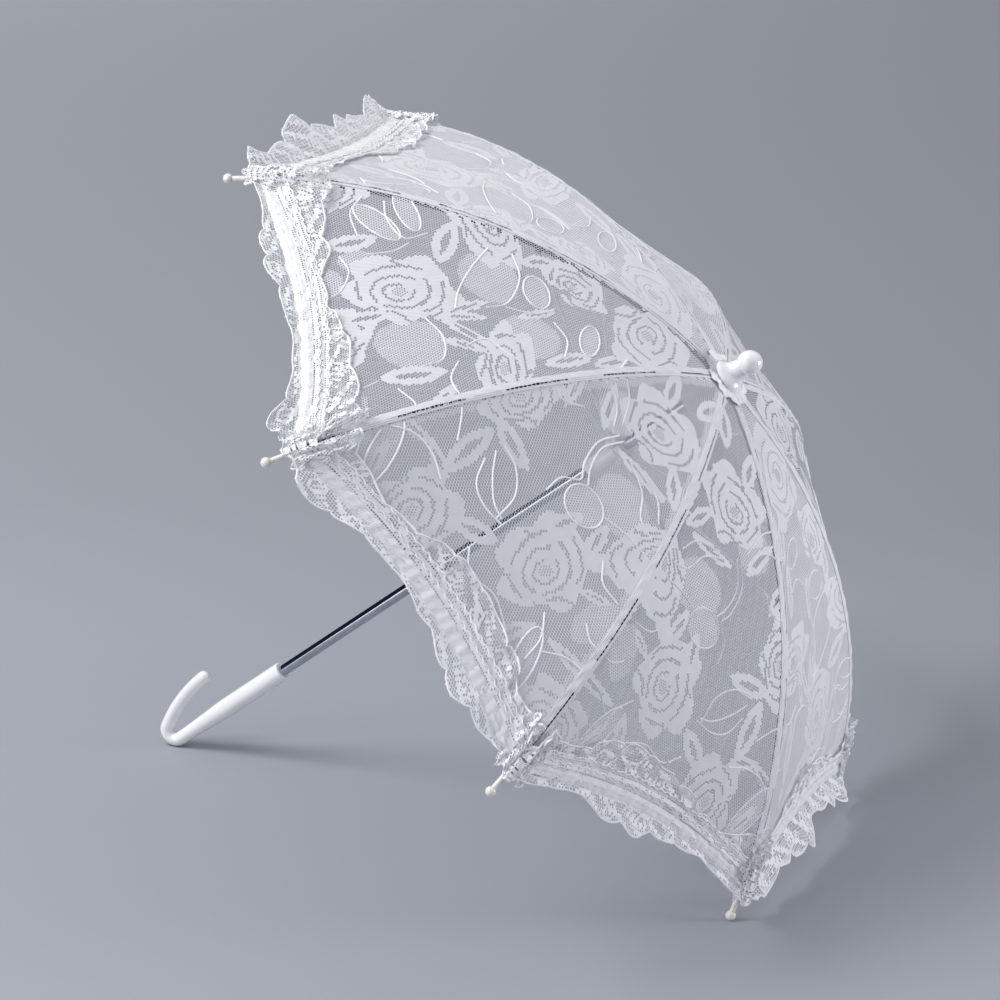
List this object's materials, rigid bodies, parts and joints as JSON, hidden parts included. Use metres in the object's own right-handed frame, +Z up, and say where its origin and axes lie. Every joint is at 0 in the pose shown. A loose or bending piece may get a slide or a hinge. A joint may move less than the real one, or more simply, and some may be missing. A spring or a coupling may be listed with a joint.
{
  "type": "lace parasol",
  "caption": "Open lace parasol with folding metal ribs, a sliding runner on a chrome shaft, round rib tips, a turned top knob and a slim white crook handle.",
  "frame": {"origin": "on the floor under the middle of the bounding box of the open parasol as it lies at rest", "axes": "+Z up from the floor; the shaft lies in the XZ plane and rises towards +X, from the crook handle to the knob; Y runs across the canopy"},
  "size_m": [0.4304, 0.514, 0.404],
  "materials": {
    "crown_ivory": "moulded",
    "handle_white": "moulded gloss",
    "knob_white": "moulded gloss",
    "lace_white": "woven lace net with satin motifs",
    "rib_steel": "drawn steel",
    "ruffle_white": "gathered lace trim",
    "runner_white": "moulded",
    "spring_steel": "spring wire",
    "steel_chrome": "polished",
    "stretcher_steel": "bright wire",
    "tip_cream": "moulded satin",
    "wire_bright": "drawn wire"
  },
  "bodies": {
    "root": {"shaft_tube": "steel_chrome", "crook_handle": "handle_white", "ferrule_knob": "knob_white", "top_rosette": "lace_white", "crown_notch": "crown_ivory", "crown_wire": "wire_bright"},
    "runner": {"runner_sleeve": "runner_white", "runner_wire": "wire_bright"},
    "catch": {"spring_catch": "spring_steel"},
    "rib_arm_1": {"rib_1": "rib_steel", "tip_cap_1": "tip_cream", "pivot_rivet_1": "wire_bright", "canopy_gore_1": "lace_white", "hem_ruffle_1": "ruffle_white"},
    "stretcher_arm_1": {"stretcher_1": "stretcher_steel"},
    "rib_arm_2": {"rib_2": "rib_steel", "tip_cap_2": "tip_cream", "pivot_rivet_2": "wire_bright", "canopy_gore_2": "lace_white", "hem_ruffle_2": "ruffle_white"},
    "stretcher_arm_2": {"stretcher_2": "stretcher_steel"},
    "rib_arm_3": {"rib_3": "rib_steel", "tip_cap_3": "tip_cream", "pivot_rivet_3": "wire_bright", "canopy_gore_3": "lace_white", "hem_ruffle_3": "ruffle_white"},
    "stretcher_arm_3": {"stretcher_3": "stretcher_steel"},
    "rib_arm_4": {"rib_4": "rib_steel", "tip_cap_4": "tip_cream", "pivot_rivet_4": "wire_bright", "canopy_gore_4": "lace_white", "hem_ruffle_4": "ruffle_white"},
    "stretcher_arm_4": {"stretcher_4": "stretcher_steel"},
    "rib_arm_5": {"rib_5": "rib_steel", "tip_cap_5": "tip_cream", "pivot_rivet_5": "wire_bright", "canopy_gore_5": "lace_white", "hem_ruffle_5": "ruffle_white"},
    "stretcher_arm_5": {"stretcher_5": "stretcher_steel"},
    "rib_arm_6": {"rib_6": "rib_steel", "tip_cap_6": "tip_cream", "pivot_rivet_6": "wire_bright", "canopy_gore_6": "lace_white", "hem_ruffle_6": "ruffle_white"},
    "stretcher_arm_6": {"stretcher_6": "stretcher_steel"},
    "rib_arm_7": {"rib_7": "rib_steel", "tip_cap_7": "tip_cream", "pivot_rivet_7": "wire_bright", "canopy_gore_7": "lace_white", "hem_ruffle_7": "ruffle_white"},
    "stretcher_arm_7": {"stretcher_7": "stretcher_steel"},
    "rib_arm_8": {"rib_8": "rib_steel", "tip_cap_8": "tip_cream", "pivot_rivet_8": "wire_bright", "canopy_gore_8": "lace_white", "hem_ruffle_8": "ruffle_white"},
    "stretcher_arm_8": {"stretcher_8": "stretcher_steel"}
  },
  "joints": [
    {"name": "runner_slide", "type": "slide", "parent": "root", "child": "runner", "axis": [-0.7768, 0, -0.6297], "range_m": [0, 0.17273]},
    {"name": "catch_press", "type": "slide", "parent": "root", "child": "catch", "axis": [0.6297, 0, -0.7768], "range_m": [0, 0.0011], "stiffness_N_per_m": 150, "springref_m": -0.002},
    {"name": "rib_swing_1", "type": "hinge", "parent": "root", "child": "rib_arm_1", "pos_m": [0.14931, -0.00306, 0.28022], "axis": [0.241, 0.9239, -0.2973], "range_deg": [0, 62], "deforming": ["canopy_gore_1", "hem_ruffle_1"]},
    {"name": "stretcher_swing_1", "type": "hinge", "parent": "rib_arm_1", "child": "stretcher_arm_1", "pos_m": [0.19953, -0.05, 0.17506], "axis": [-0.241, -0.9239, 0.2973], "range_deg": [0, 115.59]},
    {"name": "rib_swing_2", "type": "hinge", "parent": "root", "child": "rib_arm_2", "pos_m": [0.14931, 0.00306, 0.28022], "axis": [-0.241, 0.9239, 0.2973], "range_deg": [0, 62], "deforming": ["canopy_gore_2", "hem_ruffle_2"]},
    {"name": "stretcher_swing_2", "type": "hinge", "parent": "rib_arm_2", "child": "stretcher_arm_2", "pos_m": [0.19953, 0.05, 0.17506], "axis": [0.241, -0.9239, -0.2973], "range_deg": [0, 115.59]},
    {"name": "rib_swing_3", "type": "hinge", "parent": "root", "child": "rib_arm_3", "pos_m": [0.14658, 0.00739, 0.28358], "axis": [-0.5818, 0.3827, 0.7177], "range_deg": [0, 62], "deforming": ["canopy_gore_3", "hem_ruffle_3"]},
    {"name": "stretcher_swing_3", "type": "hinge", "parent": "rib_arm_3", "child": "stretcher_arm_3", "pos_m": [0.155, 0.12071, 0.22998], "axis": [0.5818, -0.3827, -0.7177], "range_deg": [0, 115.59]},
    {"name": "rib_swing_4", "type": "hinge", "parent": "root", "child": "rib_arm_4", "pos_m": [0.14272, 0.00739, 0.28834], "axis": [-0.5818, -0.3827, 0.7177], "range_deg": [0, 62], "deforming": ["canopy_gore_4", "hem_ruffle_4"]},
    {"name": "stretcher_swing_4", "type": "hinge", "parent": "rib_arm_4", "child": "stretcher_arm_4", "pos_m": [0.09203, 0.12071, 0.30767], "axis": [0.5818, 0.3827, -0.7177], "range_deg": [0, 115.59]},
    {"name": "rib_swing_5", "type": "hinge", "parent": "root", "child": "rib_arm_5", "pos_m": [0.14, 0.00306, 0.2917], "axis": [-0.241, -0.9239, 0.2973], "range_deg": [0, 62], "deforming": ["canopy_gore_5", "hem_ruffle_5"]},
    {"name": "stretcher_swing_5", "type": "hinge", "parent": "rib_arm_5", "child": "stretcher_arm_5", "pos_m": [0.04751, 0.05, 0.36259], "axis": [0.241, 0.9239, -0.2973], "range_deg": [0, 115.59]},
    {"name": "rib_swing_6", "type": "hinge", "parent": "root", "child": "rib_arm_6", "pos_m": [0.14, -0.00306, 0.2917], "axis": [0.241, -0.9239, -0.2973], "range_deg": [0, 62], "deforming": ["canopy_gore_6", "hem_ruffle_6"]},
    {"name": "stretcher_swing_6", "type": "hinge", "parent": "rib_arm_6", "child": "stretcher_arm_6", "pos_m": [0.04751, -0.05, 0.36259], "axis": [-0.241, 0.9239, 0.2973], "range_deg": [0, 115.59]},
    {"name": "rib_swing_7", "type": "hinge", "parent": "root", "child": "rib_arm_7", "pos_m": [0.14272, -0.00739, 0.28834], "axis": [0.5818, -0.3827, -0.7177], "range_deg": [0, 62], "deforming": ["canopy_gore_7", "hem_ruffle_7"]},
    {"name": "stretcher_swing_7", "type": "hinge", "parent": "rib_arm_7", "child": "stretcher_arm_7", "pos_m": [0.09203, -0.12071, 0.30767], "axis": [-0.5818, 0.3827, 0.7177], "range_deg": [0, 115.59]},
    {"name": "rib_swing_8", "type": "hinge", "parent": "root", "child": "rib_arm_8", "pos_m": [0.14658, -0.00739, 0.28358], "axis": [0.5818, 0.3827, -0.7177], "range_deg": [0, 62], "deforming": ["canopy_gore_8", "hem_ruffle_8"]},
    {"name": "stretcher_swing_8", "type": "hinge", "parent": "rib_arm_8", "child": "stretcher_arm_8", "pos_m": [0.155, -0.12071, 0.22998], "axis": [-0.5818, -0.3827, 0.7177], "range_deg": [0, 115.59]}
  ],
  "couplings": [
    {"joint": "rib_swing_1", "follows": "runner_slide", "rad_per_m": 6.2647},
    {"joint": "stretcher_swing_1", "follows": "runner_slide", "rad_per_m": 11.679},
    {"joint": "rib_swing_2", "follows": "runner_slide", "rad_per_m": 6.2647},
    {"joint": "stretcher_swing_2", "follows": "runner_slide", "rad_per_m": 11.679},
    {"joint": "rib_swing_3", "follows": "runner_slide", "rad_per_m": 6.2647},
    {"joint": "stretcher_swing_3", "follows": "runner_slide", "rad_per_m": 11.679},
    {"joint": "rib_swing_4", "follows": "runner_slide", "rad_per_m": 6.2647},
    {"joint": "stretcher_swing_4", "follows": "runner_slide", "rad_per_m": 11.679},
    {"joint": "rib_swing_5", "follows": "runner_slide", "rad_per_m": 6.2647},
    {"joint": "stretcher_swing_5", "follows": "runner_slide", "rad_per_m": 11.679},
    {"joint": "rib_swing_6", "follows": "runner_slide", "rad_per_m": 6.2647},
    {"joint": "stretcher_swing_6", "follows": "runner_slide", "rad_per_m": 11.679},
    {"joint": "rib_swing_7", "follows": "runner_slide", "rad_per_m": 6.2647},
    {"joint": "stretcher_swing_7", "follows": "runner_slide", "rad_per_m": 11.679},
    {"joint": "rib_swing_8", "follows": "runner_slide", "rad_per_m": 6.2647},
    {"joint": "stretcher_swing_8", "follows": "runner_slide", "rad_per_m": 11.679}
  ]
}
